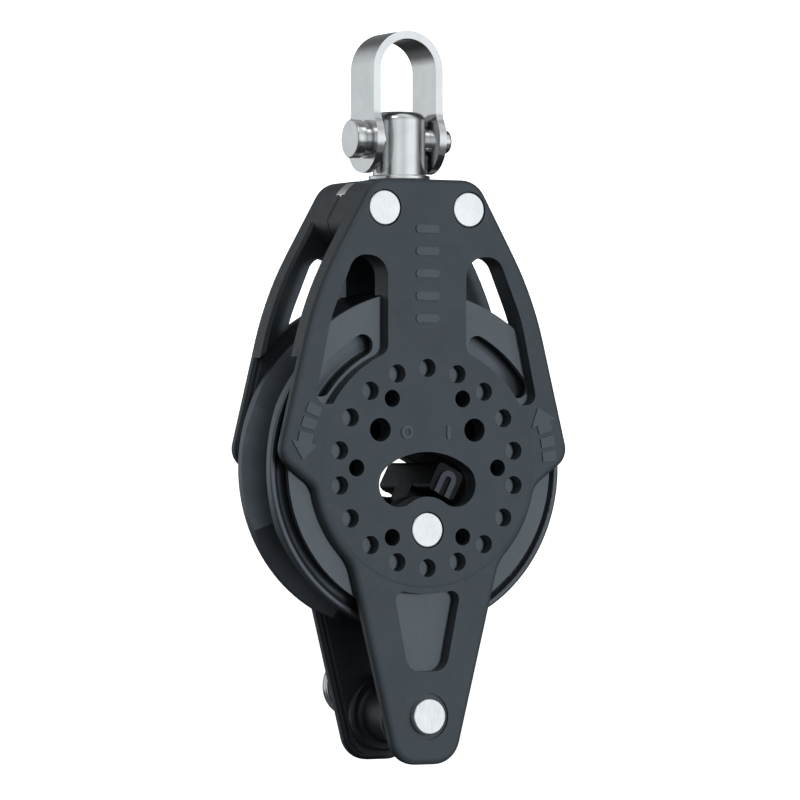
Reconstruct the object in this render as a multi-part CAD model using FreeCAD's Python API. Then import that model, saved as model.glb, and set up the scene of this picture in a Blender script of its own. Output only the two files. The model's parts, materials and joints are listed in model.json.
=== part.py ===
# Single sheave ratchet block with a swivel shackle, a ratchet switch and a becket.
#
# Frame, in millimetres: the origin is on the sheave's axis, halfway between the two cheeks.
# +X runs to the right seen from the front, +Y along the axis towards the back cheek, +Z up
# towards the shackle. The two sides mirror each other in the plane y = 0, so a piece of one
# side is drawn on the back (+Y) side and mirrored for the front.
import FreeCAD
import Part
import math
import os

V = FreeCAD.Vector
AXIS_X = V(1, 0, 0)
AXIS_Y = V(0, 1, 0)
AXIS_Z = V(0, 0, 1)

# Sheave
sheave_radius = 28.5
sheave_half_width = 6.5
groove_wall = 1.9            # metal between the bore and the flats of the groove
groove_floor_half = 2.6      # half width of the groove's floor
groove_sides = 8             # the rope sits on eight flats, which grip it
groove_lip = 1.5             # flange thickness at the rim
lip_reach = 0.45             # the flats run out this far past the rim
dish_depth = 1.2             # hollow in each flange's outer face
dish_inset = 0.9
dish_lean = 0.6
dish_round = 0.6
dish_from_hub = 0.1
bore_edge = 0.3
rim_edge = 0.35
dish_edge = 0.25

# Layers of one side, counted outward from the sheave
side_gap = 0.45
liner_thickness = 0.95
plate_thickness = 2.55
hub_rise = 0.08
liner_inside = sheave_half_width + side_gap
plate_inside = liner_inside + liner_thickness
plate_face = plate_inside + plate_thickness
hub_face = plate_face + hub_rise

# Ball bearing between the fixed core and the sheave
core_radius = 17.0
ball_radius = 1.3
ball_count = 24
ball_play = 0.05
ball_side = 0.7              # ball row in from the sheave's side
cage_wall = 0.7              # half the cage's thickness
cage_rim = 0.45              # past the balls on each side
cage_play = 0.12
cage_half_width = ball_radius + cage_rim
ball_path = core_radius + ball_play + ball_radius
bore_radius = ball_path + ball_radius + ball_play
ball_row = sheave_half_width - ball_side - ball_radius
groove_flat = bore_radius + groove_wall

# Ratchet ring and pawls
tooth_count = 24
ring_wall = 1.0
tooth_depth = 1.1
tooth_crest_share = 0.12     # of the pitch
tooth_back_share = 0.22
ring_to_cage = 0.35
pawl_inset = 0.5             # pawls narrower than the ring on each side
pawl_pocket_play = 0.3
pawl_tip_play = 0.15
pawl_pivot_inset = 3.8       # in from the core's edge
pawl_pivot_angles = (105.0, 15.0)
pawl_sweep = 28.0            # from the pivot to the tip, seen from the sheave's axis
pawl_lift = 7.0              # room for a pawl to turn in when the ratchet is off
pawl_eye = 1.95
pawl_tip = 0.45
pawl_pin_radius = 1.0
pawl_pin_hold = 1.7          # depth of a pin in the core, past the pawl
pin_play = 0.05
spring_thickness = 0.35
spring_gap = 0.75            # behind the pawl's eye
spring_start = -4.0
spring_end = 16.0
tooth_root = bore_radius - ring_wall
tooth_crest = tooth_root - tooth_depth
ring_half_width = ball_row - cage_half_width - ring_to_cage
pawl_half_width = ring_half_width - pawl_inset
pawl_pin_reach = pawl_half_width + pawl_pin_hold
pawl_pivot_radius = core_radius - pawl_pivot_inset

# Cheek plan shape
hub_cover = 2.2              # the raised hub covers the bearing by this much
hub_radius = bore_radius + hub_cover
hub_round = 1.5
head_height = 21.8           # top of the cheeks above the sheave's rim
head_half_width = 10.2
head_corner = 5.0
shoulder_half_width = 21.6
shoulder_height = 1.7
shoulder_round = 60.0
widest_overhang = 0.1        # the cheeks cover the rim at their widest
widest_height = 1.9
widest_round = 3.6
tuck_x = 12.0                # the lower side edge runs towards this point inside the hub
tuck_z = -10.5
tuck_round = 4.0
leg_top_half_width = 14.9
leg_top_z = -15.0
leg_foot_half_width = 5.75
leg_length = 23.1            # foot of the becket legs below the sheave's rim
leg_foot_round = 5.0
leg_root_round = 8.0
outer_round = 1.1
inner_round = 0.7
cheek_top = sheave_radius + head_height
shoulder_z = sheave_radius + shoulder_height
widest_half_width = sheave_radius + widest_overhang
leg_foot = -(sheave_radius + leg_length)

# Thick upper part of a cheek, and the head that joins the two
rim_clearance = 2.5          # round the sheave's rim
thick_inside_step = 2.4      # how much deeper the upper part is than the plate
head_block_drop = 11.7       # head's underside below the cheek's top
head_block_half_width = 14.2
head_block_round = 5.0
head_seam = 0.3
seam_chamfer = 0.35
thick_inside = plate_inside - thick_inside_step
head_bottom = cheek_top - head_block_drop

# Windows beside the stem
stem_half_width = 7.7
window_rise = 8.4            # top of the windows above the sheave's rim
arm_width_top = 3.6
arm_width_middle = 3.85
arm_width_low = 4.35
window_middle_z = 26.0
window_low_z = 11.0
window_hub_step = 0.4
window_stem_round = 3.8
window_arm_round = 3.2
window_bend_round = 25.0
window_low_round = 1.8
window_root_round = 2.0
window_top_z = sheave_radius + window_rise

# Pocket in each becket leg
pocket_top_half_width = 7.3
pocket_top_z = -18.0
pocket_foot_half_width = 3.7
pocket_foot_rise = 16.2      # foot of the pocket above the leg's foot
pocket_round = 2.8
pocket_top_round = 1.5

# Holes in the hub
rim_hole_count = 18
rim_hole_radius = 1.6
rim_hole_inset = 4.5         # hole circle in from the hub's edge
vent_hole_count = 6
vent_hole_radius = 1.5
vent_circle = 13.9
vent_depth = 4.0
key_hole_radius = 2.05
key_hole_circle = 11.4
key_hole_angle = 35.4
rim_hole_circle = hub_radius - rim_hole_inset

# Ratchet switch on the hub rivet
hub_rivet_z = -10.8
slot_path = 9.7
slot_half_width = 3.9
slot_half_angle = 35.5
slot_play = 0.1
lever_eye = 4.4
lever_eye_half = 2.9
lever_inside = 6.9
lever_outside = 12.1
lever_half_width = 2.7
lever_round = 0.9
lever_sink = 1.2             # lever's faces below the hub's face
lever_tilt = 27.0
rib_rise = 0.45
rib_half_width = 1.6
rib_wall = 1.0
rib_foot = 6.9               # ends of the rib, out from the lever's pivot
rib_top = 11.4
rib_sink = 0.2
lever_pocket_play = 0.25
lever_fan_extra = 32.0

# Rivets
rivet_head_radius = 3.05
rivet_head_height = 1.2
rivet_head_play = 0.15
rivet_radius = 2.0
hub_rivet_radius = 2.5
rivet_play = 0.05
rivet_edge = 0.25
head_rivet_gap = 0.3         # between the barrel and the rivets
head_rivet_drop = 5.2        # below the cheek's top

# Swivel
post_radius = 4.65
post_play = 0.05
post_top_height = 12.2       # above the cheek's top
post_dome = 1.6
flange_inset = 0.25          # flange smaller than the barrel
flange_height = 2.0
flange_lift = 0.3            # above the head's underside
washer_height = 0.5
washer_play = 0.05
barrel_wall = 1.3
barrel_play = 0.05
carrier_half_width = 11.6
carrier_half_thickness = 1.6
carrier_sink = 0.5           # below the cheek's top
collar_wall = 0.75
collar_height = 0.8
collar_lift = 0.2
bore_in_barrel = post_radius + post_play
barrel_radius = bore_in_barrel + barrel_wall
flange_radius = barrel_radius - flange_inset
collar_radius = post_radius + collar_wall
head_rivet_x = barrel_radius + rivet_radius + head_rivet_gap
flange_bottom = head_bottom + flange_lift
flange_top = flange_bottom + flange_height
washer_bottom = flange_top + washer_play
barrel_bottom = washer_bottom + washer_height + washer_play
barrel_top = cheek_top - carrier_sink
post_top = cheek_top + post_top_height
head_rivet_z = cheek_top - head_rivet_drop

# Shackle
shackle_pin_height = 7.3     # cross pin above the cheek's top
shackle_pin_radius = 2.5
shackle_pin_play = 0.05
strap_thickness = 1.4
strap_half_width = 4.4
strap_to_post = 0.8
shackle_ear_radius = 5.9
shackle_neck_round = 3.0
shackle_shift = -0.5         # the bow and its pin sit to the left of the post
shackle_reach = 19.0         # top of the bow above the cross pin
pin_neck_length = 0.6
pin_neck_radius = 2.9
pin_head_length = 1.9
pin_head_radius = 3.4
nut_length = 1.5
nut_radius = 3.0
pin_tail_length = 1.7
pin_tail_radius = 2.1
shackle_pin_z = cheek_top + shackle_pin_height
strap_inside = post_radius + strap_to_post
strap_outside = strap_inside + strap_thickness
bow_top = shackle_pin_z + shackle_reach

# Becket
becket_pin_drop = 14.7       # below the sheave's rim
becket_pin_radius = 2.45
becket_pin_play = 0.05
becket_head_rim = 0.7        # head past the pin
becket_head_height = 1.0
becket_head_sink = 0.4
dish_rim = 0.95              # dish past the pin's head
dish_sink = 0.4
becket_tail = 5.7            # tail past the back cheek
cotter_hole_radius = 1.35
cotter_hole_inset = 1.9
spool_wall = 2.4
spool_flange_width = 1.6
spool_flange_rise = 1.9
spool_play = 0.3
cotter_radius = 5.2
cotter_wire = 0.42
cotter_pitch = 0.9           # between its two turns
cotter_joggle = 30.0         # where the wire crosses from one turn to the other
cotter_lean = 114.0          # direction of the split ring's centre from the pin
cotter_shift = 0.25
becket_z = -(sheave_radius + becket_pin_drop)
becket_head_radius = becket_pin_radius + becket_head_rim
dish_radius = becket_head_radius + dish_rim
spool_core_radius = becket_pin_radius + becket_pin_play + spool_wall
spool_flange_radius = spool_core_radius + spool_flange_rise

# Liner plan shape
liner_inset = 1.0
liner_top_clearance = 2.3    # above the sheave's rim
liner_skirt = 3.9            # past the hub's edge
liner_leg_inset = 0.9
bean_start = 36.0
bean_end = 62.0
bean_round = 1.9
bean_step = 0.3

# Raised marks
mark_rise = 0.25
mark_sink = 0.3
mark_radius = 24.4
arrow_half_width = 2.5
arrow_stem_half_width = 1.35
arrow_wing = 7.0             # wings, stem's end and bars behind the arrow's tip, in degrees
arrow_tail = 11.0
arrow_bars = (15.0, 21.0)
arrow_bar_half = 2.1
left_arrow_tip = 3.3
right_arrow_tip = 25.8
grip_count = 5
grip_low_z = 26.0
grip_pitch = 3.9
grip_half_width = 2.3
grip_half_height = 0.7
grip_round = 0.68
sign_x = 4.1
sign_z = 6.2
sign_half_height = 1.2
sign_half_width = 0.35
sign_round = 0.3
sign_ring = 1.15
sign_hollow = 0.65


def polar(radius, angle, x=0.0, z=0.0):
    """Point (x, z) at a radius and an angle from +X towards +Z, round a centre."""
    turn = math.radians(angle)
    return x + radius * math.cos(turn), z + radius * math.sin(turn)


def outline(corners, place):
    """Closed wire through corners (u, v, rounding radius); place(u, v) puts them in space."""
    ends = []
    for index, (u, v, radius) in enumerate(corners):
        corner = place(u, v)
        if radius == 0:
            ends.append((corner, corner, corner))
            continue
        back = place(*corners[index - 1][:2]) - corner
        ahead = place(*corners[(index + 1) % len(corners)][:2]) - corner
        back.normalize()
        ahead.normalize()
        half = back.getAngle(ahead) / 2
        reach = radius / math.tan(half)
        inward = back + ahead
        inward.normalize()
        middle = corner + inward * (radius / math.sin(half) - radius)
        ends.append((corner + back * reach, middle, corner + ahead * reach))
    edges = []
    for index, (first, middle, last) in enumerate(ends):
        if corners[index][2] > 0:
            edges.append(Part.Arc(first, middle, last).toShape())
        following = ends[(index + 1) % len(ends)][0]
        if last.distanceToPoint(following) > 1e-6:
            edges.append(Part.LineSegment(last, following).toShape())
    return Part.Wire(edges)


def prism(corners, y_low, y_high):
    """Plate with the plan shape (x, z, rounding radius), between two values of y."""
    wire = outline(corners, lambda x, z: V(x, y_low, z))
    return Part.Face(wire).extrude(V(0, y_high - y_low, 0))


def turned(corners, x=0.0, z=0.0):
    """Solid turned about a line along Y through (x, z); corners are (radius, y, rounding)."""
    wire = outline(corners, lambda radius, y: V(radius, y, 0))
    solid = Part.Face(wire).revolve(V(0, 0, 0), AXIS_Y, 360)
    solid.translate(V(x, 0, z))
    return solid


def turned_upright(corners):
    """Solid turned about the Z axis; corners are (radius, z, rounding)."""
    wire = outline(corners, lambda radius, z: V(radius, 0, z))
    return Part.Face(wire).revolve(V(0, 0, 0), AXIS_Z, 360)


def turned_across(corners, z, x_shift):
    """Solid turned about a line along X at height z; corners are (radius, x, rounding)."""
    wire = outline(corners, lambda radius, x: V(x, 0, radius))
    solid = Part.Face(wire).revolve(V(0, 0, 0), AXIS_X, 360)
    solid.translate(V(x_shift, 0, z))
    return solid


def disc(radius, y_low, y_high, x=0.0, z=0.0):
    """Cylinder along Y."""
    return Part.makeCylinder(radius, y_high - y_low, V(x, y_low, z), AXIS_Y)


def ring(outer, inner, y_low, y_high, x=0.0, z=0.0):
    """Flat ring with its axis along Y."""
    return disc(outer, y_low, y_high, x, z).cut(disc(inner, y_low - 1, y_high + 1, x, z))


def block(x_low, x_high, y_low, y_high, z_low, z_high):
    """Box between two corners."""
    return Part.makeBox(x_high - x_low, y_high - y_low, z_high - z_low, V(x_low, y_low, z_low))


def curved_slot(path, half_width, start, end, y_low, y_high, x=0.0, z=0.0):
    """Slot of even width along an arc about (x, z), with round ends."""
    def point(radius, angle):
        across, up = polar(radius, angle, x, z)
        return V(across, y_low, up)

    def cap(angle, way):
        turn = math.radians(angle)
        return point(path, angle) + V(-math.sin(turn), 0, math.cos(turn)) * half_width * way

    inside = path - half_width
    outside = path + half_width
    middle = (start + end) / 2
    edges = [
        Part.Arc(point(outside, start), point(outside, middle), point(outside, end)),
        Part.Arc(point(outside, end), cap(end, 1), point(inside, end)),
        Part.Arc(point(inside, end), point(inside, middle), point(inside, start)),
        Part.Arc(point(inside, start), cap(start, -1), point(outside, start)),
    ]
    wire = Part.Wire([edge.toShape() for edge in edges])
    return Part.Face(wire).extrude(V(0, y_high - y_low, 0))


def sector(outer, start, end, y_low, y_high, x=0.0, z=0.0):
    """Pie slice about (x, z) between two angles."""
    def point(radius, angle):
        across, up = polar(radius, angle, x, z)
        return V(across, y_low, up)

    centre = V(x, y_low, z)
    arc = Part.Arc(point(outer, start), point(outer, (start + end) / 2), point(outer, end))
    sides = [
        Part.LineSegment(centre, point(outer, start)),
        arc,
        Part.LineSegment(point(outer, end), centre),
    ]
    wire = Part.Wire([side.toShape() for side in sides])
    return Part.Face(wire).extrude(V(0, y_high - y_low, 0))


def upright_edges(shape, wanted):
    """Edges along Y whose (x, z) the function accepts."""
    found = []
    for edge in shape.Edges:
        if len(edge.Vertexes) != 2:
            continue
        first = edge.Vertexes[0].Point
        last = edge.Vertexes[1].Point
        run = last - first
        if abs(run.x) < 1e-4 and abs(run.z) < 1e-4 and wanted(first.x, first.z):
            found.append(edge)
    return found


def face_rim(shape, y, wanted=lambda x, z: True):
    """Outer edges of the flat faces that lie at height y along the axis."""
    rim = []
    for face in shape.Faces:
        box = face.BoundBox
        if abs(box.YMin - y) < 1e-4 and abs(box.YMax - y) < 1e-4:
            for edge in face.OuterWire.Edges:
                middle = edge.valueAt((edge.FirstParameter + edge.LastParameter) / 2)
                if wanted(middle.x, middle.z):
                    rim.append(edge)
    return rim


def mirrored(shape):
    """The same piece on the other side of the block."""
    return shape.mirror(V(0, 0, 0), AXIS_Y)


def both_sides(points):
    """Plan corners of the right half, then of the left half in mirror order."""
    return points + [(-x, z, radius) for x, z, radius in reversed(points)]


def edge_half_width(z):
    """Half width of the cheek at height z, between its head and its widest point."""
    if z > shoulder_z:
        share = (z - shoulder_z) / (cheek_top - shoulder_z)
        return shoulder_half_width + share * (head_half_width - shoulder_half_width)
    share = (z - widest_height) / (shoulder_z - widest_height)
    return widest_half_width + share * (shoulder_half_width - widest_half_width)


def cheek_blank(y_low, y_high):
    """Full plan shape of a cheek."""
    upper = prism(both_sides([
        (head_half_width, cheek_top, head_corner),
        (shoulder_half_width, shoulder_z, shoulder_round),
        (widest_half_width, widest_height, widest_round),
        (tuck_x, tuck_z, 0),
    ]), y_low, y_high)
    legs = prism(both_sides([
        (leg_top_half_width, leg_top_z, 0),
        (leg_foot_half_width, leg_foot, leg_foot_round),
    ]), y_low, y_high)
    blank = upper.fuse([legs, disc(hub_radius, y_low, y_high)]).removeSplitter()

    def on_hub(x, z):
        return abs(math.hypot(x, z) - hub_radius) < 1e-3

    sides = upright_edges(blank, lambda x, z: on_hub(x, z) and z > leg_top_z / 2)
    blank = blank.makeFillet(tuck_round, sides)
    roots = upright_edges(blank, lambda x, z: on_hub(x, z) and z < leg_top_z)
    return blank.makeFillet(leg_root_round, roots)


def window_tool(y_low, y_high):
    """Window on the right of the stem, above the hub."""
    top = edge_half_width(window_top_z) - arm_width_top
    middle = edge_half_width(window_middle_z) - arm_width_middle
    low = edge_half_width(window_low_z) - arm_width_low
    corners = [
        (stem_half_width, window_top_z, window_stem_round),
        (top, window_top_z, window_arm_round),
        (middle, window_middle_z, window_bend_round),
        (low, window_low_z, window_low_round),
        (stem_half_width, window_low_z, 0),
    ]
    inside = hub_radius - window_hub_step
    tool = prism(corners, y_low, y_high).cut(disc(inside, y_low - 1, y_high + 1))

    def at_stem(x, z):
        return abs(math.hypot(x, z) - inside) < 1e-3 and abs(x - stem_half_width) < 1e-3

    return tool.makeFillet(window_root_round, upright_edges(tool, at_stem))


def pocket_tool(y_low, y_high):
    """Pocket in the becket leg, under the hub."""
    foot = leg_foot + pocket_foot_rise
    tool = prism(both_sides([
        (pocket_top_half_width, pocket_top_z, 0),
        (pocket_foot_half_width, foot, pocket_round),
    ]), y_low, y_high)
    tool = tool.cut(disc(hub_radius, y_low - 1, y_high + 1))

    def on_hub(x, z):
        return abs(math.hypot(x, z) - hub_radius) < 1e-3

    return tool.makeFillet(pocket_top_round, upright_edges(tool, on_hub))


def flip_x(shape):
    """The same shape on the other side of the stem."""
    return shape.mirror(V(0, 0, 0), AXIS_X)


def plate_with_hub():
    """Flat part of a cheek: rounded plate with the raised hub."""
    plate = cheek_blank(plate_inside, plate_face)
    plate = plate.makeFillet(outer_round, face_rim(plate, plate_face))
    plate = plate.makeFillet(inner_round, face_rim(plate, plate_inside))
    hub = turned([
        (0, plate_inside, 0),
        (hub_radius, plate_inside, 0),
        (hub_radius, hub_face, hub_round),
        (0, hub_face, 0),
    ])
    return plate.fuse(hub)


def hub_slot(half_width, y_low, y_high):
    """Kidney slot for the ratchet switch."""
    low = 90 - slot_half_angle
    high = 90 + slot_half_angle
    return curved_slot(slot_path, half_width, low, high, y_low, y_high, 0, hub_rivet_z)


def vent_holes(y_low, y_high):
    """Six small and two larger dark holes in the hub."""
    holes = []
    for index in range(vent_hole_count):
        x, z = polar(vent_circle, index * 360 / vent_hole_count)
        holes.append(disc(vent_hole_radius, y_low, y_high, x, z))
    for angle in (key_hole_angle, 180 - key_hole_angle):
        x, z = polar(key_hole_circle, angle)
        holes.append(disc(key_hole_radius, y_low, y_high, x, z))
    return holes


def rim_holes(y_low, y_high):
    """Ring of holes over the bearing."""
    holes = []
    for index in range(rim_hole_count):
        x, z = polar(rim_hole_circle, 90 + index * 360 / rim_hole_count)
        holes.append(disc(rim_hole_radius, y_low, y_high, x, z))
    return holes


def head_half():
    """Thick upper part of the back cheek and its half of the head."""
    middle = plate_face - outer_round
    thick = cheek_blank(thick_inside, middle)
    thick = thick.makeFillet(inner_round, face_rim(thick, thick_inside))
    clear = disc(sheave_radius + rim_clearance, 0, plate_face + 1)
    width = widest_half_width + 5
    lower = block(-width, width, 0, plate_face + 1, leg_foot - 5, 0)
    thick = thick.cut([clear, lower])
    head = cheek_blank(head_seam / 2, middle)
    head = head.makeChamfer(seam_chamfer, face_rim(head, head_seam / 2))
    keep = prism(both_sides([
        (head_block_half_width, cheek_top + 1, 0),
        (head_block_half_width, head_bottom, head_block_round),
    ]), 0, plate_face)
    return thick.fuse(head.common(keep))


def arrow_mark(tip, way, y_low, y_high):
    """Arrow with two bars behind it, bent along a circle about the sheave's axis."""
    def point(offset, back):
        x, z = polar(mark_radius + offset, tip - way * back)
        return x, z, 0

    def bar(near, far):
        half = arrow_stem_half_width
        corners = [point(half, near), point(half, far), point(-half, far), point(-half, near)]
        return prism(corners, y_low, y_high)

    head = prism([
        point(0, 0),
        point(arrow_half_width, arrow_wing),
        point(-arrow_half_width, arrow_wing),
    ], y_low, y_high)
    marks = [head.fuse(bar(arrow_wing, arrow_tail)).removeSplitter()]
    for middle in arrow_bars:
        marks.append(bar(middle - arrow_bar_half, middle + arrow_bar_half))
    return marks


def cheek_marks():
    """Turning arrows, grip bars on the stem, and ring and bar signs for the switch."""
    low = plate_face - mark_sink
    high = plate_face + mark_rise
    marks = arrow_mark(right_arrow_tip, 1, low, high)
    marks += [flip_x(mark) for mark in arrow_mark(left_arrow_tip, -1, low, high)]
    for index in range(grip_count):
        z = grip_low_z + index * grip_pitch
        marks.append(prism(both_sides([
            (grip_half_width, z + grip_half_height, grip_round),
            (grip_half_width, z - grip_half_height, grip_round),
        ]), low, high))
    low = hub_face - mark_sink
    high = hub_face + mark_rise
    marks.append(ring(sign_ring, sign_hollow, low, high, -sign_x, sign_z))
    marks.append(prism([
        (sign_x - sign_half_width, sign_z - sign_half_height, sign_round),
        (sign_x + sign_half_width, sign_z - sign_half_height, sign_round),
        (sign_x + sign_half_width, sign_z + sign_half_height, sign_round),
        (sign_x - sign_half_width, sign_z + sign_half_height, sign_round),
    ], low, high))
    return marks


def back_cheek():
    """Outer shell of one side, with its half of the head."""
    cheek = plate_with_hub().fuse(head_half())
    over = hub_face + 1
    window = window_tool(0, over)
    cheek = cheek.cut([window, flip_x(window), pocket_tool(plate_inside - 1, over)])
    cuts = rim_holes(plate_inside - 1, over)
    cuts += vent_holes(plate_inside - 1, over)
    cuts.append(hub_slot(slot_half_width, plate_inside - 1, over))
    recess = rivet_head_radius + rivet_head_play
    cuts.append(disc(recess, hub_face - rivet_head_height, over, 0, hub_rivet_z))
    cuts.append(disc(hub_rivet_radius + rivet_play, 0, over, 0, hub_rivet_z))
    for x in (-head_rivet_x, head_rivet_x):
        cuts.append(disc(recess, plate_face - rivet_head_height, over, x, head_rivet_z))
        cuts.append(disc(rivet_radius + rivet_play, -1, over, x, head_rivet_z))
    cuts.append(disc(becket_pin_radius + becket_pin_play, 0, over, 0, becket_z))
    cuts.append(disc(dish_radius, plate_face - dish_sink, over, 0, becket_z))
    cheek = cheek.cut(cuts)
    cheek = cheek.cut([carrier_space(), barrel_space()])
    return cheek.fuse(cheek_marks()).removeSplitter()


def carrier_space():
    """Room in the head for the carrier's plate, open at the top."""
    return block(
        -carrier_half_width - pin_play, carrier_half_width + pin_play,
        -carrier_half_thickness - pin_play, carrier_half_thickness + pin_play,
        barrel_bottom - pin_play, cheek_top + 1,
    )


def barrel_space():
    """Upright bore in the head for the carrier's barrel and the post's flange."""
    radius = barrel_radius + barrel_play
    height = cheek_top - head_bottom + 2
    return Part.makeCylinder(radius, height, V(0, 0, head_bottom - 1), AXIS_Z)


def back_liner():
    """Thin inner plate of one side: it faces the sheave and the becket spool."""
    y_low = liner_inside
    y_high = plate_inside
    top_radius = sheave_radius + liner_top_clearance
    inset = liner_inset
    upper = prism(both_sides([
        (head_half_width, cheek_top, head_corner),
        (shoulder_half_width - inset, shoulder_z, shoulder_round),
        (widest_half_width - inset, widest_height + inset / 2, widest_round - inset / 2),
        (tuck_x, tuck_z, 0),
    ]), y_low, y_high).common(disc(top_radius, y_low, y_high))
    leg = prism(both_sides([
        (leg_top_half_width - liner_leg_inset, leg_top_z, 0),
        (leg_foot_half_width - liner_leg_inset, leg_foot + liner_leg_inset, leg_foot_round - 1),
    ]), y_low, y_high)
    skirt = disc(hub_radius + liner_skirt, y_low, y_high)
    liner = upper.fuse([leg, skirt]).removeSplitter()
    path = hub_radius + bean_step + bean_round
    bean = curved_slot(path, bean_round, bean_start, bean_end, y_low - 1, y_high + 1)
    cuts = [bean, flip_x(bean), hub_slot(slot_half_width, y_low - 1, y_high + 1)]
    cuts += vent_holes(y_low - 1, y_high + 1)
    cuts.append(disc(hub_rivet_radius + rivet_play, y_low - 1, y_high + 1, 0, hub_rivet_z))
    cuts.append(disc(becket_pin_radius + becket_pin_play, y_low - 1, y_high + 1, 0, becket_z))
    return liner.cut(cuts)


def pawl(angle, half_width, grow, lift=0.0):
    """Ratchet pawl at the tooth ring; grow widens it and lift turns it in, off the teeth."""
    pivot_x, pivot_z = polar(pawl_pivot_radius, angle)
    tip_radius = tooth_crest - pawl_tip_play - pawl_tip
    tip_x, tip_z = polar(tip_radius, angle + pawl_sweep)
    along = V(tip_x - pivot_x, 0, tip_z - pivot_z)
    reach = along.Length
    along.normalize()
    side = V(-along.z, 0, along.x)
    root = pawl_eye + grow
    tip = pawl_tip + grow
    corners = []
    for distance, offset in ((0, root), (reach, tip), (reach, -tip), (0, -root)):
        spot = V(pivot_x, 0, pivot_z) + along * distance + side * offset
        corners.append((spot.x, spot.z, 0))
    arm = prism(corners, -half_width, half_width)
    eye = disc(root, -half_width, half_width, pivot_x, pivot_z)
    end = disc(tip, -half_width, half_width, tip_x, tip_z)
    shape = arm.fuse([eye, end])
    if lift:
        shape.rotate(V(pivot_x, 0, pivot_z), AXIS_Y, -lift)
    return shape


def pawl_piece(angle):
    """One pawl with its pin hole."""
    x, z = polar(pawl_pivot_radius, angle)
    shape = pawl(angle, pawl_half_width, 0.0).removeSplitter()
    return shape.cut(disc(pawl_pin_radius + pin_play, -5, 5, x, z))


def pawl_spring(angle, half_width, grow):
    """Leaf spring behind a pawl."""
    path = pawl_pivot_radius - pawl_eye - spring_gap
    thick = spring_thickness / 2 + grow
    start = angle + spring_start
    end = angle + spring_end
    return curved_slot(path, thick, start, end, -half_width, half_width)


def hub_core():
    """Half of the fixed core inside the bearing, on the back side of the middle plane."""
    core = disc(core_radius, 0, liner_inside)
    cuts = vent_holes(liner_inside - vent_depth, liner_inside + 1)
    cuts.append(hub_slot(slot_half_width + slot_play, -1, liner_inside + 1))
    cuts.append(disc(hub_rivet_radius + rivet_play, -1, liner_inside + 1, 0, hub_rivet_z))
    room = lever_pocket_play
    reach = slot_half_angle + lever_fan_extra
    fan = sector(
        lever_outside + room + 1, 90 - reach, 90 + reach, -1, lever_eye_half + room, 0, hub_rivet_z
    )
    cuts.append(fan)
    cuts.append(disc(lever_eye + room, -1, lever_eye_half + room, 0, hub_rivet_z))
    pocket = pawl_half_width + pawl_pocket_play
    for angle in pawl_pivot_angles:
        cuts.append(pawl(angle, pocket, pawl_pocket_play))
        cuts.append(pawl(angle, pocket, pawl_pocket_play, pawl_lift))
        cuts.append(pawl_spring(angle, pocket, 0.0))
        x, z = polar(pawl_pivot_radius, angle)
        cuts.append(disc(pawl_pin_radius, -1, pawl_pin_reach, x, z))
    return core.cut(cuts).removeSplitter()


def sheave():
    """Grooved wheel with eight grip flats, dished flanges and a plain bore."""
    half = sheave_half_width
    dish_inner = hub_radius + dish_from_hub
    dish_outer = sheave_radius - dish_inset
    side = half - dish_depth
    lean = dish_lean
    profile = [
        (bore_radius, -half, bore_edge),
        (dish_inner, -half, bore_edge),
        (dish_inner + lean, -side, dish_round),
        (dish_outer - lean, -side, dish_round),
        (dish_outer, -half, dish_edge),
        (sheave_radius, -half, rim_edge),
        (sheave_radius, half, rim_edge),
        (dish_outer, half, dish_edge),
        (dish_outer - lean, side, dish_round),
        (dish_inner + lean, side, dish_round),
        (dish_inner, half, bore_edge),
        (bore_radius, half, bore_edge),
    ]
    wheel = turned(profile)
    lip = sheave_radius + lip_reach
    stations = [
        (-half - 1, lip),
        (-half + groove_lip, lip),
        (-groove_floor_half, groove_flat),
        (groove_floor_half, groove_flat),
        (half - groove_lip, lip),
        (half + 1, lip),
    ]
    wires = []
    for y, flat in stations:
        wires.append(flat_sided_wire(flat, y))
    return wheel.common(Part.makeLoft(wires, True, True))


def flat_sided_wire(inner_radius, y):
    """Regular outline with groove_sides flats at a distance from the axis."""
    corner = inner_radius / math.cos(math.pi / groove_sides)
    points = []
    for index in range(groove_sides):
        x, z = polar(corner, (index + 0.5) * 360 / groove_sides)
        points.append(V(x, y, z))
    return Part.makePolygon(points + points[:1])


def ratchet_ring():
    """Toothed ring in the sheave's bore."""
    tooth = (
        (tooth_crest, 0),
        (tooth_crest, tooth_crest_share),
        (tooth_root, tooth_back_share),
    )
    corners = []
    for index in range(tooth_count):
        start = index * 360 / tooth_count
        for radius, share in tooth:
            x, z = polar(radius, start + share * 360 / tooth_count)
            corners.append((x, z, 0))
    hollow = prism(corners, -ring_half_width - 1, ring_half_width + 1)
    return disc(bore_radius, -ring_half_width, ring_half_width).cut(hollow)


def ball_row_places():
    """Centres of one row of balls, on the back side."""
    places = []
    for index in range(ball_count):
        x, z = polar(ball_path, index * 360 / ball_count)
        places.append(V(x, ball_row, z))
    return places


def balls():
    """One row of bearing balls."""
    return Part.makeCompound([Part.makeSphere(ball_radius, at) for at in ball_row_places()])


def cage():
    """Ring that spaces one row of balls."""
    low = ball_row - cage_half_width
    high = ball_row + cage_half_width
    body = ring(ball_path + cage_wall, ball_path - cage_wall, low, high)
    pockets = []
    for at in ball_row_places():
        outward = V(at.x, 0, at.z)
        outward.normalize()
        start = at - outward * 3 * cage_wall
        pockets.append(Part.makeCylinder(ball_radius + cage_play, 6 * cage_wall, start, outward))
    return body.cut(pockets)


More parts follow.
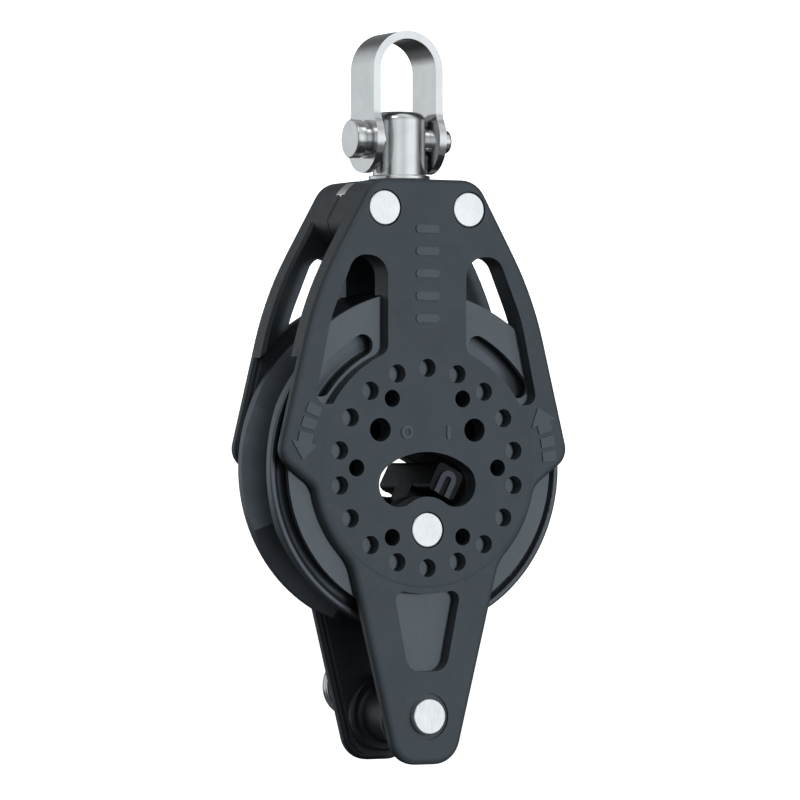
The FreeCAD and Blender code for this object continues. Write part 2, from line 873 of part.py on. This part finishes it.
def switch_lever():
    """Ratchet switch: an eye on the hub rivet and a bar that shows in both slots."""
    face = hub_face - lever_sink
    bar = prism([
        (-lever_half_width, lever_inside, lever_round),
        (lever_half_width, lever_inside, lever_round),
        (lever_half_width, lever_outside, lever_round),
        (-lever_half_width, lever_outside, lever_round),
    ], -face, face)
    web = prism([
        (-lever_half_width, 0, 0),
        (lever_half_width, 0, 0),
        (lever_half_width, lever_inside + 2, 0),
        (-lever_half_width, lever_inside + 2, 0),
    ], -lever_eye_half, lever_eye_half)
    lever = bar.fuse([web, disc(lever_eye, -lever_eye_half, lever_eye_half)])
    lever = lever.cut(disc(hub_rivet_radius + pin_play, -10, 10))
    rib = lever_rib(face - rib_sink, face + rib_rise)
    lever = lever.fuse([rib, mirrored(rib)]).removeSplitter()
    lever.rotate(V(0, 0, 0), AXIS_Y, lever_tilt)
    lever.translate(V(0, 0, hub_rivet_z))
    return lever


def lever_rib(y_low, y_high):
    """Horseshoe-shaped thumb rib on the end of the switch."""
    def arch(half, foot, low, high):
        round_end = rib_top - rib_half_width
        leg = block(-half, half, low, high, foot, round_end)
        return leg.fuse(disc(half, low, high, 0, round_end))

    rib = arch(rib_half_width, rib_foot, y_low, y_high)
    return rib.cut(arch(rib_half_width - rib_wall, rib_foot - 1, y_low - 1, y_high + 1))


def rivet(radius, face, x, z):
    """Rivet with a flush head at each face."""
    under = face - rivet_head_height
    return turned([
        (0, -face, 0),
        (rivet_head_radius, -face, rivet_edge),
        (rivet_head_radius, -under, 0),
        (radius, -under, 0),
        (radius, under, 0),
        (rivet_head_radius, under, 0),
        (rivet_head_radius, face, rivet_edge),
        (0, face, 0),
    ], x, z)


def swivel_post():
    """Post that turns in the head, with a flange below and the shackle's cross hole above."""
    post = turned_upright([
        (0, flange_bottom, 0),
        (flange_radius, flange_bottom, 0.3),
        (flange_radius, flange_top, 0.3),
        (post_radius, flange_top, 0),
        (post_radius, post_top, post_dome),
        (0, post_top, 0),
    ])
    hole = shackle_pin_radius + shackle_pin_play
    return post.cut(Part.makeCylinder(hole, 30, V(-15, 0, shackle_pin_z), AXIS_X))


def collar():
    """Snap ring round the post, just above the head."""
    low = cheek_top + collar_lift
    high = low + collar_height
    return turned_upright([
        (post_radius, low, 0),
        (collar_radius, low, 0.2),
        (collar_radius, high, 0.2),
        (post_radius, high, 0),
    ])


def thrust_washer():
    """Slip washer between the post's flange and the carrier."""
    return turned_upright([
        (bore_in_barrel, washer_bottom, 0),
        (flange_radius, washer_bottom, 0),
        (flange_radius, washer_bottom + washer_height, 0),
        (bore_in_barrel, washer_bottom + washer_height, 0),
    ])


def carrier():
    """Steel plate and barrel between the cheeks, which the head rivets pass through."""
    half = carrier_half_thickness
    plate = cheek_blank(-half, half)
    keep = block(-carrier_half_width, carrier_half_width, -half, half, barrel_bottom, barrel_top)
    plate = plate.common(keep)
    barrel = Part.makeCylinder(barrel_radius, barrel_top - barrel_bottom, V(0, 0, barrel_bottom))
    body = plate.fuse(barrel)
    cuts = [Part.makeCylinder(bore_in_barrel, 60, V(0, 0, barrel_bottom - 5))]
    for x in (-head_rivet_x, head_rivet_x):
        cuts.append(disc(rivet_radius + rivet_play, -10, 10, x, head_rivet_z))
    return body.cut(cuts).removeSplitter()


def shackle_bow():
    """Bent strap with an ear on each side of the post."""
    crown = bow_top - strap_outside
    foot = shackle_pin_z - shackle_ear_radius - 1
    reach = shackle_ear_radius + 1

    def arch(radius):
        legs = block(-radius, radius, -reach, reach, foot, crown)
        return legs.fuse(disc(radius, -reach, reach, 0, crown))

    strap = arch(strap_outside)
    hollow = arch(strap_inside)
    side = side_view_of_strap()
    bow = strap.cut(hollow).removeSplitter().common(side)
    hole = shackle_pin_radius + shackle_pin_play
    bow = bow.cut(Part.makeCylinder(hole, 40, V(-20, 0, shackle_pin_z), AXIS_X))
    bow.translate(V(shackle_shift, 0, 0))
    return bow


def side_view_of_strap():
    """Outline of the shackle seen along X, as a thick plate to trim the strap with."""
    width = strap_outside + 1
    wire = outline([
        (-strap_half_width, shackle_pin_z, 0),
        (strap_half_width, shackle_pin_z, 0),
        (strap_half_width, bow_top + 1, 0),
        (-strap_half_width, bow_top + 1, 0),
    ], lambda y, z: V(-width, y, z))
    strap = Part.Face(wire).extrude(V(2 * width, 0, 0))
    ear = Part.makeCylinder(shackle_ear_radius, 2 * width, V(-width, 0, shackle_pin_z), AXIS_X)
    side = strap.fuse(ear).removeSplitter()
    necks = []
    for edge in side.Edges:
        if len(edge.Vertexes) != 2:
            continue
        first = edge.Vertexes[0].Point
        run = edge.Vertexes[1].Point - first
        on_ear = abs(math.hypot(first.y, first.z - shackle_pin_z) - shackle_ear_radius) < 1e-3
        if abs(run.x) > width and on_ear and first.z > shackle_pin_z:
            necks.append(edge)
    return side.makeFillet(shackle_neck_round, necks)


def shackle_pin():
    """Cross pin with its head and neck on the left."""
    head = -strap_outside - pin_neck_length - pin_head_length
    neck = -strap_outside - pin_neck_length
    tail = strap_outside + nut_length + pin_tail_length
    return turned_across([
        (0, head, 0),
        (pin_head_radius, head, 0.35),
        (pin_head_radius, neck, 0.2),
        (pin_neck_radius, neck, 0),
        (pin_neck_radius, -strap_outside, 0),
        (shackle_pin_radius, -strap_outside, 0),
        (shackle_pin_radius, strap_outside + nut_length, 0),
        (pin_tail_radius, strap_outside + nut_length, 0),
        (pin_tail_radius, tail, 0.5),
        (0, tail, 0),
    ], shackle_pin_z, shackle_shift)


def shackle_pin_nut():
    """Round nut on the right of the shackle."""
    end = strap_outside + nut_length
    return turned_across([
        (shackle_pin_radius, strap_outside, 0),
        (nut_radius, strap_outside, 0.2),
        (nut_radius, end, 0.4),
        (shackle_pin_radius, end, 0),
    ], shackle_pin_z, shackle_shift)


def becket_pin():
    """Pin across the becket legs: a head at the front, a drilled tail at the back."""
    seat = -(plate_face - dish_sink)
    head = seat - becket_head_height - becket_head_sink
    tail = plate_face + becket_tail
    pin = turned([
        (0, head, 0),
        (becket_head_radius, head, 0.3),
        (becket_head_radius, seat, 0),
        (becket_pin_radius, seat, 0),
        (becket_pin_radius, tail, 0.5),
        (0, tail, 0),
    ], 0, becket_z)
    turn = math.radians(cotter_lean - 90)
    along = V(math.cos(turn), 0, math.sin(turn))
    start = V(0, tail - cotter_hole_inset, becket_z) - along * 10
    return pin.cut(Part.makeCylinder(cotter_hole_radius, 20, start, along))


def split_ring():
    """Two turns of wire through the becket pin's tail, with a joggle from one to the other."""
    half = cotter_pitch / 2
    arc = 360 - cotter_joggle

    def turn_of_wire(height):
        at = V(0, 0, height)
        return Part.makeTorus(cotter_radius, cotter_wire, at, AXIS_Z, 0, 360, arc)

    end = math.radians(arc)
    first = V(cotter_radius * math.cos(end), cotter_radius * math.sin(end), -half)
    last = V(cotter_radius, 0, half)
    reach = cotter_radius * math.radians(cotter_joggle) / 3
    curve = Part.BezierCurve()
    curve.setPoles([
        first,
        first + V(-math.sin(end), math.cos(end), 0) * reach,
        last - AXIS_Y * reach,
        last,
    ])
    path = Part.Wire(curve.toShape())
    section = Part.Wire(Part.makeCircle(cotter_wire, last, AXIS_Y))
    crossing = path.makePipeShell([section], True, False)
    wire = turn_of_wire(-half).fuse([turn_of_wire(half), crossing])
    wire.rotate(V(0, 0, 0), AXIS_Z, cotter_joggle / 2)
    wire.rotate(V(0, 0, 0), AXIS_X, -90)
    wire.rotate(V(0, 0, 0), AXIS_Y, -cotter_lean)
    x, z = polar(cotter_radius - cotter_shift, cotter_lean, 0, becket_z)
    wire.translate(V(x, plate_face + becket_tail - cotter_hole_inset, z))
    return wire


def becket_spool():
    """Flanged spool that turns on the becket pin, between the liners."""
    half = liner_inside - spool_play
    inner = half - spool_flange_width
    bore = becket_pin_radius + becket_pin_play
    return turned([
        (bore, -half, 0),
        (spool_flange_radius, -half, 0.5),
        (spool_flange_radius, -inner, 0.5),
        (spool_core_radius, -inner, 0.8),
        (spool_core_radius, inner, 0.8),
        (spool_flange_radius, inner, 0.5),
        (spool_flange_radius, half, 0.5),
        (bore, half, 0),
    ], 0, becket_z)


def write(name, shape):
    """Write one piece to its own file."""
    if not shape.isValid():
        raise ValueError(name + " is not a valid solid")
    shape.exportStep("parts/" + name + ".step")
    print(name, len(shape.Solids), round(shape.Volume, 1))


def main():
    os.makedirs("parts", exist_ok=True)
    cheek = back_cheek()
    liner = back_liner()
    core = hub_core()
    row = balls()
    spacer = cage()
    write("back_cheek", cheek)
    write("front_cheek", mirrored(cheek))
    write("back_liner", liner)
    write("front_liner", mirrored(liner))
    write("back_core", core)
    write("front_core", mirrored(core))
    write("sheave", sheave())
    write("ratchet_ring", ratchet_ring())
    write("back_balls", row)
    write("front_balls", mirrored(row))
    write("back_cage", spacer)
    write("front_cage", mirrored(spacer))
    write("switch_lever", switch_lever())
    left, right = pawl_pivot_angles
    write("upper_pawl", pawl_piece(left))
    write("lower_pawl", pawl_piece(right))
    pins = []
    springs = []
    for angle in pawl_pivot_angles:
        x, z = polar(pawl_pivot_radius, angle)
        pins.append(disc(pawl_pin_radius, -pawl_pin_reach, pawl_pin_reach, x, z))
        springs.append(pawl_spring(angle, pawl_half_width, 0.0))
    write("pawl_pins", Part.makeCompound(pins))
    write("pawl_springs", Part.makeCompound(springs))
    rivets = [rivet(rivet_radius, plate_face, x, head_rivet_z) for x in (-head_rivet_x, head_rivet_x)]
    write("head_rivets", Part.makeCompound(rivets))
    write("hub_rivet", rivet(hub_rivet_radius, hub_face, 0, hub_rivet_z))
    write("swivel_carrier", carrier())
    write("swivel_post", swivel_post())
    write("swivel_collar", collar())
    write("thrust_washer", thrust_washer())
    write("shackle_bow", shackle_bow())
    write("shackle_pin", shackle_pin())
    write("shackle_pin_nut", shackle_pin_nut())
    write("becket_pin", becket_pin())
    write("becket_split_ring", split_ring())
    write("becket_spool", becket_spool())


main()
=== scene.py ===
"""Looks of a single sheave block: materials for its CAD parts, a studio, and the camera."""
import json
import math

import bpy
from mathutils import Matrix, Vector


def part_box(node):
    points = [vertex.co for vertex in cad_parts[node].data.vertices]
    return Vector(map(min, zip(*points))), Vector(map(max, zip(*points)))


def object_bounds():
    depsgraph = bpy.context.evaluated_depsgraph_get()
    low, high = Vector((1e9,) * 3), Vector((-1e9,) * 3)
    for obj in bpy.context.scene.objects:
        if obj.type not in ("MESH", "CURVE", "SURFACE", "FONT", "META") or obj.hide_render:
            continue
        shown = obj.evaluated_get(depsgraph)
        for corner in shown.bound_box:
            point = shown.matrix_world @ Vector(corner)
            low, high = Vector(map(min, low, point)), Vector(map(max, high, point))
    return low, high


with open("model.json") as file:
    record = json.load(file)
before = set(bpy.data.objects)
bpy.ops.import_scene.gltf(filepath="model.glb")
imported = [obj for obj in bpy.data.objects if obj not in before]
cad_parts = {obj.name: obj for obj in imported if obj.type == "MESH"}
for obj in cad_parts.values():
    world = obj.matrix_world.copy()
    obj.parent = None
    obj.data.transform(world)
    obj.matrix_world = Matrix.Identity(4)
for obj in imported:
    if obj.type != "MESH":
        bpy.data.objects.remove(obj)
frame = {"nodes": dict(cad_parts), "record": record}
cad_low, cad_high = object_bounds()

MM = 0.001
NODES = frame["nodes"]


# ---------------------------------------------------------------- camera

VIEW_AZIMUTH = math.radians(-28.3)
VIEW_DISTANCE = 843 * MM
FOCAL_LENGTH = 218.25           # for a 36 mm sensor
YAW = math.radians(0.335)       # the block stands right of the view's centre
PITCH = math.radians(0.802)     # and its sheave below it


def add_camera():
    """Camera level with the sheave's axis, to the front and left of the block."""
    target = Vector((0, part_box("front_cheek")[0].y, 0))
    back = Vector((math.sin(VIEW_AZIMUTH), -math.cos(VIEW_AZIMUTH), 0))
    data = bpy.data.cameras.new("camera")
    data.lens = FOCAL_LENGTH
    data.sensor_width = 36
    data.clip_start = 0.01
    data.clip_end = 50
    camera = bpy.data.objects.new("camera", data)
    bpy.context.collection.objects.link(camera)
    camera.location = target + back * VIEW_DISTANCE
    camera.rotation_euler = (math.pi / 2 + PITCH, 0, VIEW_AZIMUTH + YAW)
    bpy.context.scene.camera = camera


add_camera()


# ---------------------------------------------------------------- materials

GRAIN = 0.16 * MM               # spark-eroded surface of the mould
NOISE_RANGE = (0.3, 0.7)        # where most of a noise texture's values lie


class Nodes:
    """Small helper that adds and links shader nodes of one material."""

    def __init__(self, name):
        self.material = bpy.data.materials.new(name)
        self.material.use_nodes = True
        self.tree = self.material.node_tree
        self.shader = self.tree.nodes["Principled BSDF"]
        self.place = self.add("ShaderNodeTexCoord").outputs["Object"]

    def add(self, kind, **settings):
        node = self.tree.nodes.new(kind)
        for key, value in settings.items():
            setattr(node, key, value)
        return node

    def link(self, source, target):
        self.tree.links.new(source, target)

    def math(self, operation, *values):
        node = self.add("ShaderNodeMath", operation=operation)
        for socket, value in zip(node.inputs, values):
            if isinstance(value, (int, float)):
                socket.default_value = value
            else:
                self.link(value, socket)
        return node.outputs[0]

    def stretched(self, scale):
        """Object place with each axis scaled."""
        node = self.add("ShaderNodeMapping")
        node.inputs["Scale"].default_value = scale
        self.link(self.place, node.inputs["Vector"])
        return node.outputs[0]

    def noise(self, size, detail=2.0, place=None):
        """Noise whose features are about size across."""
        node = self.add("ShaderNodeTexNoise")
        node.inputs["Scale"].default_value = 1 / size
        node.inputs["Detail"].default_value = detail
        self.link(place or self.place, node.inputs["Vector"])
        return node.outputs["Fac"]

    def spread(self, value, low, high):
        """Maps noise from its usual range to low..high."""
        node = self.add("ShaderNodeMapRange")
        node.inputs["From Min"].default_value = NOISE_RANGE[0]
        node.inputs["From Max"].default_value = NOISE_RANGE[1]
        node.inputs["To Min"].default_value = low
        node.inputs["To Max"].default_value = high
        self.link(value, node.inputs["Value"])
        return node.outputs["Result"]

    def shade(self, value, dark, light):
        """Colour between two shades."""
        node = self.add("ShaderNodeMix", data_type="RGBA", clamp_factor=False)
        node.inputs["A"].default_value = (*dark, 1)
        node.inputs["B"].default_value = (*light, 1)
        self.link(value, node.inputs["Factor"])
        return node.outputs["Result"]

    def bump(self, height, depth, strength, normal=None):
        """Bump of a real depth in metres."""
        node = self.add("ShaderNodeBump")
        node.inputs["Distance"].default_value = depth
        node.inputs["Strength"].default_value = strength
        self.link(height, node.inputs["Height"])
        if normal:
            self.link(normal, node.inputs["Normal"])
        return node.outputs["Normal"]

    def split(self):
        """Place along the sheave's axis, and the distance from it."""
        node = self.add("ShaderNodeSeparateXYZ")
        self.link(self.place, node.inputs[0])
        x, y, z = (node.outputs[axis] for axis in "XYZ")
        radius = self.math("SQRT", self.math(
            "ADD", self.math("POWER", x, 2.0), self.math("POWER", z, 2.0)))
        return y, radius

    def finish(self, colour, roughness, normal, **constants):
        """Links the shader's inputs and sets the ones that are the same all over."""
        self.link(colour, self.shader.inputs["Base Color"])
        self.link(roughness, self.shader.inputs["Roughness"])
        self.link(normal, self.shader.inputs["Normal"])
        for key, value in constants.items():
            self.shader.inputs[key].default_value = value
        return self.material


def scaled(colour, factor):
    """Colour made lighter or darker by a factor."""
    return tuple(channel * factor for channel in colour)


def painted_highlight_mask(n, limit, hub_level, plate_level):
    """1 on the tops of raised marks, which get a painted highlight: past hub_level inside the
    limit radius, else plate_level.
    """
    along, radius = n.split()
    away = n.math("ABSOLUTE", along)
    inside = n.math("LESS_THAN", radius, limit)
    level = n.math("MULTIPLY_ADD", inside, hub_level - plate_level, plate_level)
    return n.math("GREATER_THAN", away, level)


def moulded_plastic(name, colour, roughness, marks=None, sheen=0.35):
    """Glass-filled nylon: fine grain, faint flow clouds, glints of fibre, and tops of raised marks
    painted lighter as a painted highlight.
    """
    n = Nodes(name)
    clouds = n.spread(n.noise(9 * MM, 3), 0, 1)
    fibre = n.noise(0.35 * MM, 3, n.stretched((1, 1, 0.35)))
    mix = n.math("MULTIPLY_ADD", n.spread(fibre, 0, 1), 0.35, n.math("MULTIPLY", clouds, 0.65))
    if marks:
        *levels, painted_highlight_gain = marks
        # Painted highlight: the tops of raised marks are painted lighter in the base colour.
        mix = n.math("ADD", mix, n.math("MULTIPLY", painted_highlight_mask(n, *levels), painted_highlight_gain))
    shade = n.shade(mix, scaled(colour, 0.9), scaled(colour, 1.1))
    gloss = n.spread(n.noise(1.6 * MM, 4), roughness - 0.05, roughness + 0.05)
    fine = n.bump(n.noise(GRAIN, 4), 0.02 * MM, 0.55)
    peel = n.bump(n.noise(2.2 * MM, 2), 0.03 * MM, 0.25, fine)
    return n.finish(shade, gloss, peel, **{"Specular IOR Level": sheen})


def anodised(name, colour, roughness):
    """Dark anodised aluminium with turning marks round the sheave's axis."""
    n = Nodes(name)
    along, radius = n.split()
    join = n.add("ShaderNodeCombineXYZ")
    n.link(radius, join.inputs["X"])
    n.link(along, join.inputs["Y"])
    rings = n.noise(0.13 * MM, 2, join.outputs[0])
    clouds = n.spread(n.noise(6 * MM, 3), 0, 1)
    shade = n.shade(clouds, scaled(colour, 0.88), scaled(colour, 1.12))
    gloss = n.spread(rings, roughness - 0.06, roughness + 0.08)
    marks = n.bump(rings, 0.01 * MM, 0.5)
    blast = n.bump(n.noise(0.1 * MM, 3), 0.01 * MM, 0.35, marks)
    return n.finish(shade, gloss, blast, Metallic=0.85)


def steel(name, colour, roughness, grain_scale):
    """Stainless steel with fine polishing lines along the axis whose scale is low."""
    n = Nodes(name)
    lines = n.noise(0.12 * MM, 3, n.stretched(grain_scale))
    clouds = n.spread(n.noise(4 * MM, 3), 0, 1)
    shade = n.shade(clouds, scaled(colour, 0.94), scaled(colour, 1.04))
    gloss = n.spread(lines, roughness - 0.05, roughness + 0.06)
    return n.finish(shade, gloss, n.bump(lines, 0.006 * MM, 0.5), Metallic=1.0)


# Linear colours
CHEEK = (0.043, 0.053, 0.062)
LINER = (0.088, 0.103, 0.118)
BLACK = (0.0045, 0.0052, 0.0062)
SHEAVE = (0.105, 0.118, 0.135)
STEEL = (0.70, 0.70, 0.705)

# Hub radius, level that marks rise past on the hub and on the plate, and how much lighter their
# tops are painted as a painted highlight
CHEEK_MARKS_AND_PAINTED_HIGHLIGHT = (21.9 * MM, 10.7 * MM, 10.6 * MM, 2.5)
# The switch's U rib gets a strong painted highlight on its top, past one level everywhere.
SWITCH_RIB_AND_PAINTED_HIGHLIGHT = (0.0, 9.6 * MM, 9.6 * MM, 50.0)

MATERIALS = {
    "cheek": moulded_plastic("cheek_plastic", CHEEK, 0.42, marks=CHEEK_MARKS_AND_PAINTED_HIGHLIGHT),
    "liner": moulded_plastic("liner_plastic", LINER, 0.45),
    "core": moulded_plastic("core_plastic", BLACK, 0.45, sheen=0.15),
    "switch": moulded_plastic("switch_plastic", BLACK, 0.45, marks=SWITCH_RIB_AND_PAINTED_HIGHLIGHT, sheen=0.15),
    "spool": moulded_plastic("spool_plastic", scaled(CHEEK, 0.8), 0.42),
    "sheave": anodised("anodised_aluminium", SHEAVE, 0.36),
    "inner_steel": steel("ground_steel", scaled(STEEL, 0.8), 0.3, (1, 1, 1)),
    "balls": moulded_plastic("ball_plastic", (0.72, 0.70, 0.66), 0.25),
    "cage": moulded_plastic("cage_plastic", (0.55, 0.54, 0.5), 0.4),
    "rivet": steel("satin_steel", scaled(STEEL, 1.22), 0.3, (1, 1, 0.1)),
    "bright_steel": steel("polished_steel", STEEL, 0.17, (1, 1, 0.08)),
}


def dress_nodes():
    """Gives each CAD node the material of its slot."""
    for entry in frame["record"]["subparts"]:
        mesh = NODES[entry["node"]].data
        mesh.materials.clear()
        mesh.materials.append(MATERIALS[entry["material_slot"]])


dress_nodes()


# ---------------------------------------------------------------- studio

LIT_POINT = Vector((0, 0, 10 * MM))


def add_area(name, place, size, power):
    """Soft square lamp that faces the block; size is the length of a side."""
    data = bpy.data.lights.new(name, "AREA")
    data.size = size
    data.energy = power
    light = bpy.data.objects.new(name, data)
    bpy.context.collection.objects.link(light)
    light.location = place
    towards = LIT_POINT - Vector(place)
    light.rotation_euler = towards.to_track_quat("-Z", "Y").to_euler()


def add_sun(name, azimuth, elevation, strength, softness):
    """Far lamp; its azimuth runs from the front towards the right, softness is its width."""
    data = bpy.data.lights.new(name, "SUN")
    data.energy = strength
    data.angle = math.radians(softness)
    light = bpy.data.objects.new(name, data)
    bpy.context.collection.objects.link(light)
    light.rotation_euler = (math.radians(90 - elevation), 0, math.radians(azimuth))
    light.visible_glossy = False


# Studio brightness round the horizon: degrees from the front towards the right, brightness.
ROUND_THE_HORIZON = (
    (-180, 0.20), (-163, 0.80), (-140, 0.85), (-118, 0.55), (-82, 0.50), (-76, 0.05), (-66, 0.05),
    (-58, 0.60), (-32, 1.05), (-8, 0.85), (14, 1.22), (42, 1.22), (58, 0.40), (78, 0.06),
    (112, 0.05), (140, 0.25), (180, 0.20),
)
# And from straight below (-1) to straight above (1): sine of the elevation, brightness.
BELOW_TO_ABOVE = ((-1.0, 0.15), (-0.35, 0.15), (-0.12, 1.0), (0.2, 1.0), (0.5, 0.6), (1.0, 0.9))
WALL_TINT = (0.975, 1.0, 1.015)
WORLD_STRENGTH = 0.95
DIFFUSE_SHARE = 0.12            # the walls light matt surfaces less than the lamps do


def ramp(tree, value, low, high, stops):
    """Ramp of brightness over a range of values, in the walls' tint."""
    place = tree.nodes.new("ShaderNodeMapRange")
    place.inputs["From Min"].default_value = low
    place.inputs["From Max"].default_value = high
    tree.links.new(value, place.inputs["Value"])
    node = tree.nodes.new("ShaderNodeValToRGB")
    tree.links.new(place.outputs["Result"], node.inputs["Fac"])
    elements = node.color_ramp.elements
    elements.remove(elements[1])
    for index, (at, grey) in enumerate(stops):
        share = (at - low) / (high - low)
        element = elements[0] if index == 0 else elements.new(share)
        element.position = share
        element.color = (*scaled(WALL_TINT, grey), 1)
    return node.outputs["Color"]


def set_world():
    """Studio walls: bright in front, dark strips at the sides, dark below."""
    world = bpy.data.worlds.new("studio")
    bpy.context.scene.world = world
    world.use_nodes = True
    tree = world.node_tree
    place = tree.nodes.new("ShaderNodeTexCoord")
    split = tree.nodes.new("ShaderNodeSeparateXYZ")
    tree.links.new(place.outputs["Generated"], split.inputs[0])
    front = tree.nodes.new("ShaderNodeMath")
    front.operation = "MULTIPLY"
    front.inputs[1].default_value = -1
    tree.links.new(split.outputs["Y"], front.inputs[0])
    turn = tree.nodes.new("ShaderNodeMath")
    turn.operation = "ARCTAN2"
    tree.links.new(split.outputs["X"], turn.inputs[0])
    tree.links.new(front.outputs[0], turn.inputs[1])
    stops = [(math.radians(angle), grey) for angle, grey in ROUND_THE_HORIZON]
    around = ramp(tree, turn.outputs[0], -math.pi, math.pi, stops)
    upward = ramp(tree, split.outputs["Z"], -1, 1, BELOW_TO_ABOVE)
    both = tree.nodes.new("ShaderNodeMix")
    both.data_type = "RGBA"
    both.blend_type = "MULTIPLY"
    both.inputs["Factor"].default_value = 1
    tree.links.new(around, both.inputs["A"])
    tree.links.new(upward, both.inputs["B"])
    back = tree.nodes["Background"]
    tree.links.new(both.outputs["Result"], back.inputs["Color"])
    path = tree.nodes.new("ShaderNodeLightPath")
    strength = tree.nodes.new("ShaderNodeMapRange")
    strength.inputs["To Min"].default_value = WORLD_STRENGTH
    strength.inputs["To Max"].default_value = WORLD_STRENGTH * DIFFUSE_SHARE
    tree.links.new(path.outputs["Is Diffuse Ray"], strength.inputs["Value"])
    tree.links.new(strength.outputs["Result"], back.inputs["Strength"])


FLOOR_GAP = 60 * MM             # from the block's foot to the floor
FLOOR_HALF_WIDTH = 8.0
FLOOR_FRONT = -6.0
FLOOR_BACK = 2.5                # where the floor starts to curve up
BACKDROP_TOP = 6.0
CURVE_RADIUS = 0.8
CURVE_STEPS = 12


def add_stage():
    """Pale floor that curves up into the backdrop; it lights nothing, as the studio does that."""
    drop = cad_low.z - FLOOR_GAP
    profile = [(FLOOR_FRONT, drop)]
    for step in range(CURVE_STEPS + 1):
        turn = math.radians(90 / CURVE_STEPS * step)
        profile.append((FLOOR_BACK + CURVE_RADIUS * math.sin(turn),
                        drop + CURVE_RADIUS * (1 - math.cos(turn))))
    profile.append((FLOOR_BACK + CURVE_RADIUS, BACKDROP_TOP))
    points = []
    faces = []
    for y, z in profile:
        points += [(-FLOOR_HALF_WIDTH, y, z), (FLOOR_HALF_WIDTH, y, z)]
    for index in range(len(profile) - 1):
        corner = 2 * index
        faces.append((corner, corner + 1, corner + 3, corner + 2))
    mesh = bpy.data.meshes.new("floor")
    mesh.from_pydata(points, [], faces)
    floor = bpy.data.objects.new("floor", mesh)
    bpy.context.collection.objects.link(floor)
    floor.rotation_euler = (0, 0, VIEW_AZIMUTH)
    paint = bpy.data.materials.new("floor_paint")
    paint.use_nodes = True
    shader = paint.node_tree.nodes["Principled BSDF"]
    shader.inputs["Base Color"].default_value = (0.9, 0.9, 0.9, 1)
    shader.inputs["Emission Color"].default_value = (1, 1, 1, 1)
    shader.inputs["Emission Strength"].default_value = 1.0
    mesh.materials.append(paint)
    for ray in ("visible_diffuse", "visible_glossy", "visible_transmission", "visible_shadow"):
        setattr(floor, ray, False)


set_world()
add_stage()
add_sun("front_light", 8, 3, 2.7, 8)
add_sun("back_light", -165, 12, 1.5, 20)
add_area("key_light", (-0.75, -0.55, 0.95), 0.5, 1.6)
bpy.context.scene.view_settings.view_transform = "Standard"
